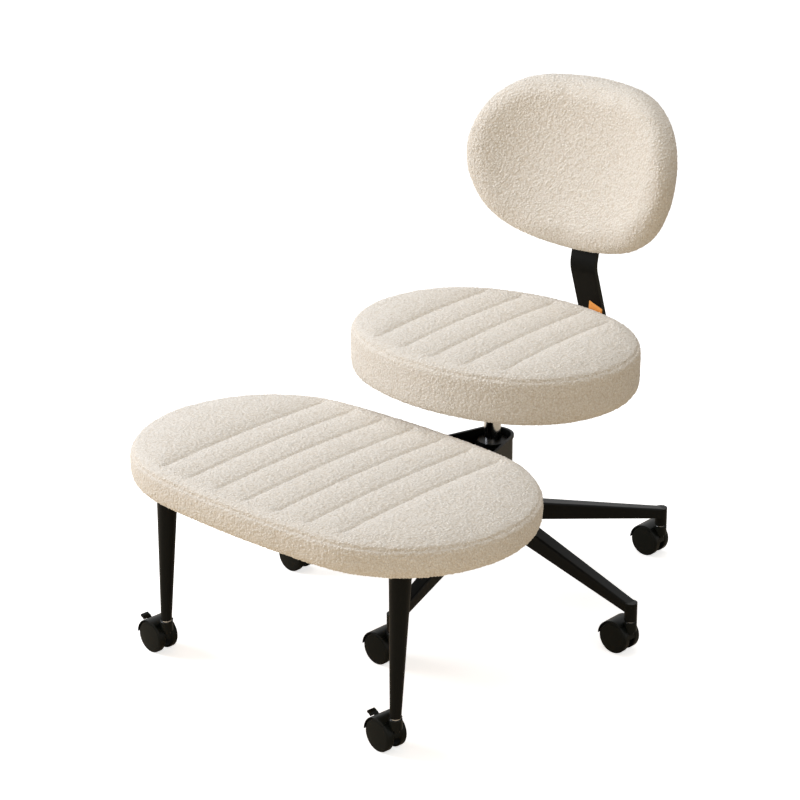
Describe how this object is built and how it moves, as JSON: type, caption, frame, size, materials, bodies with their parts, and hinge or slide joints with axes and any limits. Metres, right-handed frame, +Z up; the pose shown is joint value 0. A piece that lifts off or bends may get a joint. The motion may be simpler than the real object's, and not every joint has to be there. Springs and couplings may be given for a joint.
{
  "type": "cross-legged swivel chair",
  "caption": "Armless swivel chair with a curved backrest on a flat bar, a star base on casters, and a wide padded footrest that swings round the column on its own legs.",
  "frame": {"origin": "on the floor, on the column's upright axis", "axes": "+Z up, the sitter faces -Y, +X is the sitter's left"},
  "size_m": [0.7206, 0.9204, 0.8335],
  "materials": {
    "cream_boucle": "soft looped cream pile",
    "black_metal": "satin black powder coat",
    "chrome": "polished chrome",
    "black_plastic": "moulded black nylon",
    "bare_steel": "turned steel",
    "black_fasteners": "black oxide",
    "plywood": "raw plywood",
    "orange_fabric": "plain woven tape"
  },
  "bodies": {
    "base": {"star_base": "black_metal", "base_caster_stems": "chrome", "lift_outer_tube": "black_metal", "lift_guide_bush": "black_plastic", "lift_thrust_washer": "bare_steel", "arm_support_sleeve": "black_metal"},
    "piston": {"lift_piston_rod": "bare_steel", "lift_retaining_clip": "bare_steel"},
    "seat": {"lift_cylinder": "chrome", "seat_plate": "black_metal", "seat_board": "plywood", "seat_cushion": "cream_boucle", "seat_bolts": "black_fasteners", "seat_tag": "orange_fabric", "back_bar": "black_metal", "back_board": "plywood", "back_panel": "cream_boucle", "back_cushion": "cream_boucle", "back_bolts": "black_fasteners"},
    "height_lever": {"height_lever": "black_metal", "height_lever_grip": "black_plastic"},
    "release_button": {"lift_release_button": "bare_steel"},
    "footrest": {"footrest_arm": "black_metal", "footrest_arm_bush": "black_plastic", "footrest_board": "plywood", "footrest_cushion": "cream_boucle", "footrest_screws": "black_fasteners", "footrest_leg_left": "black_metal", "footrest_leg_right": "black_metal", "footrest_caster_stems": "chrome"},
    "base_caster_1": {"base_caster_1_hood": "black_plastic", "base_caster_1_axle": "bare_steel"},
    "base_caster_1_wheel_a": {"base_caster_1_wheel_a": "black_plastic"},
    "base_caster_1_wheel_b": {"base_caster_1_wheel_b": "black_plastic"},
    "base_caster_2": {"base_caster_2_hood": "black_plastic", "base_caster_2_axle": "bare_steel"},
    "base_caster_2_wheel_a": {"base_caster_2_wheel_a": "black_plastic"},
    "base_caster_2_wheel_b": {"base_caster_2_wheel_b": "black_plastic"},
    "base_caster_3": {"base_caster_3_hood": "black_plastic", "base_caster_3_axle": "bare_steel"},
    "base_caster_3_wheel_a": {"base_caster_3_wheel_a": "black_plastic"},
    "base_caster_3_wheel_b": {"base_caster_3_wheel_b": "black_plastic"},
    "base_caster_4": {"base_caster_4_hood": "black_plastic", "base_caster_4_axle": "bare_steel"},
    "base_caster_4_wheel_a": {"base_caster_4_wheel_a": "black_plastic"},
    "base_caster_4_wheel_b": {"base_caster_4_wheel_b": "black_plastic"},
    "base_caster_5": {"base_caster_5_hood": "black_plastic", "base_caster_5_axle": "bare_steel"},
    "base_caster_5_wheel_a": {"base_caster_5_wheel_a": "black_plastic"},
    "base_caster_5_wheel_b": {"base_caster_5_wheel_b": "black_plastic"},
    "footrest_caster_left": {"footrest_caster_left_hood": "black_plastic", "footrest_caster_left_axle": "bare_steel"},
    "footrest_caster_left_wheel_a": {"footrest_caster_left_wheel_a": "black_plastic"},
    "footrest_caster_left_wheel_b": {"footrest_caster_left_wheel_b": "black_plastic"},
    "footrest_caster_left_brake": {"footrest_caster_left_brake": "black_plastic"},
    "footrest_caster_right": {"footrest_caster_right_hood": "black_plastic", "footrest_caster_right_axle": "bare_steel"},
    "footrest_caster_right_wheel_a": {"footrest_caster_right_wheel_a": "black_plastic"},
    "footrest_caster_right_wheel_b": {"footrest_caster_right_wheel_b": "black_plastic"},
    "footrest_caster_right_brake": {"footrest_caster_right_brake": "black_plastic"}
  },
  "joints": [
    {"name": "seat_swivel", "type": "hinge", "parent": "base", "child": "piston", "pos_m": [0, 0, 0.0935], "axis": [0, 0, 1], "continuous": true},
    {"name": "seat_lift", "type": "slide", "parent": "piston", "child": "seat", "axis": [0, 0, 1], "range_m": [0, 0.1]},
    {"name": "height_lever_tilt", "type": "hinge", "parent": "seat", "child": "height_lever", "pos_m": [-0.03, 0, 0.3665], "axis": [0, 1, 0], "range_deg": [0, 7], "stiffness_Nm_per_rad": 1, "springref_deg": -2.86},
    {"name": "release_button_press", "type": "slide", "parent": "seat", "child": "release_button", "axis": [0, 0, 1], "range_m": [-0.0045, 0]},
    {"name": "footrest_swing", "type": "hinge", "parent": "base", "child": "footrest", "pos_m": [0, 0, 0.2342], "axis": [0, 0, 1], "continuous": true},
    {"name": "base_caster_1_swivel", "type": "hinge", "parent": "base", "child": "base_caster_1", "pos_m": [-0.29149, -0.14597, 0.0597], "axis": [0, 0, 1], "continuous": true},
    {"name": "base_caster_1_wheel_a_roll", "type": "hinge", "parent": "base_caster_1", "child": "base_caster_1_wheel_a", "pos_m": [-0.31294, -0.14447, 0.027], "axis": [0.0698, 0.9976, 0], "continuous": true},
    {"name": "base_caster_1_wheel_b_roll", "type": "hinge", "parent": "base_caster_1", "child": "base_caster_1_wheel_b", "pos_m": [-0.31294, -0.14447, 0.027], "axis": [0.0698, 0.9976, 0], "continuous": true},
    {"name": "base_caster_2_swivel", "type": "hinge", "parent": "base", "child": "base_caster_2", "pos_m": [0.04875, -0.32233, 0.0597], "axis": [0, 0, 1], "continuous": true},
    {"name": "base_caster_2_wheel_a_roll", "type": "hinge", "parent": "base_caster_2", "child": "base_caster_2_wheel_a", "pos_m": [0.02733, -0.32046, 0.027], "axis": [0.0872, 0.9962, 0], "continuous": true},
    {"name": "base_caster_2_wheel_b_roll", "type": "hinge", "parent": "base_caster_2", "child": "base_caster_2_wheel_b", "pos_m": [0.02733, -0.32046, 0.027], "axis": [0.0872, 0.9962, 0], "continuous": true},
    {"name": "base_caster_3_swivel", "type": "hinge", "parent": "base", "child": "base_caster_3", "pos_m": [0.32162, -0.05324, 0.0597], "axis": [0, 0, 1], "continuous": true},
    {"name": "base_caster_3_wheel_a_roll", "type": "hinge", "parent": "base_caster_3", "child": "base_caster_3_wheel_a", "pos_m": [0.30015, -0.05212, 0.027], "axis": [0.0523, 0.9986, 0], "continuous": true},
    {"name": "base_caster_3_wheel_b_roll", "type": "hinge", "parent": "base_caster_3", "child": "base_caster_3_wheel_b", "pos_m": [0.30015, -0.05212, 0.027], "axis": [0.0523, 0.9986, 0], "continuous": true},
    {"name": "base_caster_4_swivel", "type": "hinge", "parent": "base", "child": "base_caster_4", "pos_m": [0.15002, 0.28943, 0.0597], "axis": [0, 0, 1], "continuous": true},
    {"name": "base_caster_4_wheel_a_roll", "type": "hinge", "parent": "base_caster_4", "child": "base_caster_4_wheel_a", "pos_m": [0.12854, 0.29018, 0.027], "axis": [0.0349, 0.9994, 0], "continuous": true},
    {"name": "base_caster_4_wheel_b_roll", "type": "hinge", "parent": "base_caster_4", "child": "base_caster_4_wheel_b", "pos_m": [0.12854, 0.29018, 0.027], "axis": [0.0349, 0.9994, 0], "continuous": true},
    {"name": "base_caster_5_swivel", "type": "hinge", "parent": "base", "child": "base_caster_5", "pos_m": [-0.2289, 0.23212, 0.0597], "axis": [0, 0, 1], "continuous": true},
    {"name": "base_caster_5_wheel_a_roll", "type": "hinge", "parent": "base_caster_5", "child": "base_caster_5_wheel_a", "pos_m": [-0.25035, 0.23362, 0.027], "axis": [0.0698, 0.9976, 0], "continuous": true},
    {"name": "base_caster_5_wheel_b_roll", "type": "hinge", "parent": "base_caster_5", "child": "base_caster_5_wheel_b", "pos_m": [-0.25035, 0.23362, 0.027], "axis": [0.0698, 0.9976, 0], "continuous": true},
    {"name": "footrest_caster_left_swivel", "type": "hinge", "parent": "footrest", "child": "footrest_caster_left", "pos_m": [0.23267, -0.54106, 0.0597], "axis": [0, 0, 1], "continuous": true},
    {"name": "footrest_caster_left_wheel_a_roll", "type": "hinge", "parent": "footrest_caster_left", "child": "footrest_caster_left_wheel_a", "pos_m": [0.21144, -0.5377, 0.027], "axis": [0.1564, 0.9877, 0], "continuous": true},
    {"name": "footrest_caster_left_wheel_b_roll", "type": "hinge", "parent": "footrest_caster_left", "child": "footrest_caster_left_wheel_b", "pos_m": [0.21144, -0.5377, 0.027], "axis": [0.1564, 0.9877, 0], "continuous": true},
    {"name": "footrest_caster_left_brake_press", "type": "hinge", "parent": "footrest_caster_left", "child": "footrest_caster_left_brake", "pos_m": [0.19794, -0.53556, 0.0402], "axis": [-0.1564, -0.9877, 0], "range_deg": [0, 16]},
    {"name": "footrest_caster_right_swivel", "type": "hinge", "parent": "footrest", "child": "footrest_caster_right", "pos_m": [-0.26418, -0.51763, 0.0597], "axis": [0, 0, 1], "continuous": true},
    {"name": "footrest_caster_right_wheel_a_roll", "type": "hinge", "parent": "footrest_caster_right", "child": "footrest_caster_right_wheel_a", "pos_m": [-0.28556, -0.51538, 0.027], "axis": [0.1045, 0.9945, 0], "continuous": true},
    {"name": "footrest_caster_right_wheel_b_roll", "type": "hinge", "parent": "footrest_caster_right", "child": "footrest_caster_right_wheel_b", "pos_m": [-0.28556, -0.51538, 0.027], "axis": [0.1045, 0.9945, 0], "continuous": true},
    {"name": "footrest_caster_right_brake_press", "type": "hinge", "parent": "footrest_caster_right", "child": "footrest_caster_right_brake", "pos_m": [-0.29915, -0.51395, 0.0402], "axis": [-0.1045, -0.9945, 0], "range_deg": [0, 16]}
  ],
  "couplings": [
    {"joint": "release_button_press", "follows": "height_lever_tilt", "m_per_rad": -0.034}
  ]
}
